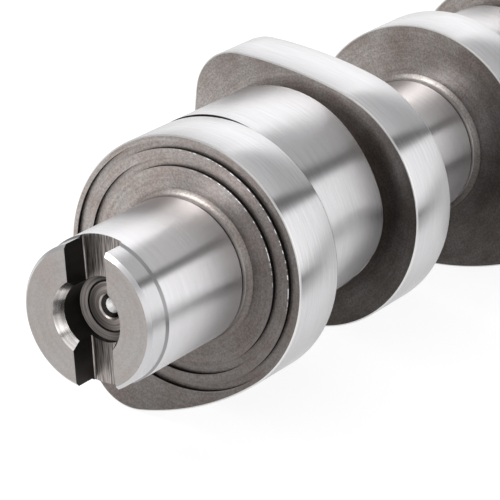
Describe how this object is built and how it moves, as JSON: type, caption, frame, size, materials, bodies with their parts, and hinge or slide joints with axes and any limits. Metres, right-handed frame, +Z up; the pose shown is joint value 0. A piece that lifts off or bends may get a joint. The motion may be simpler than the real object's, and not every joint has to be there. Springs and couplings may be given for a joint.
{
  "type": "camshaft",
  "caption": "Four-cylinder engine camshaft with valve lobes, wide unit-injector lobes, ground journals and an offset slot across one end.",
  "frame": {"origin": "on the shaft's axis, at the centre of the middle bearing journal", "axes": "+X along the shaft from its slotted end to its belt end, tipped 1.36 degrees down at the belt end, as the shaft lies on its lobes; +Z up as it lies; the slot is 14.9 degrees anticlockwise from up, as seen from the slotted end"},
  "size_m": [0.4101, 0.0676, 0.0616],
  "materials": {
    "cast_iron": "ground journals and lobes, dark phosphated lobe faces"
  },
  "bodies": {
    "root": {"camshaft": "cast_iron"}
  },
  "joints": []
}
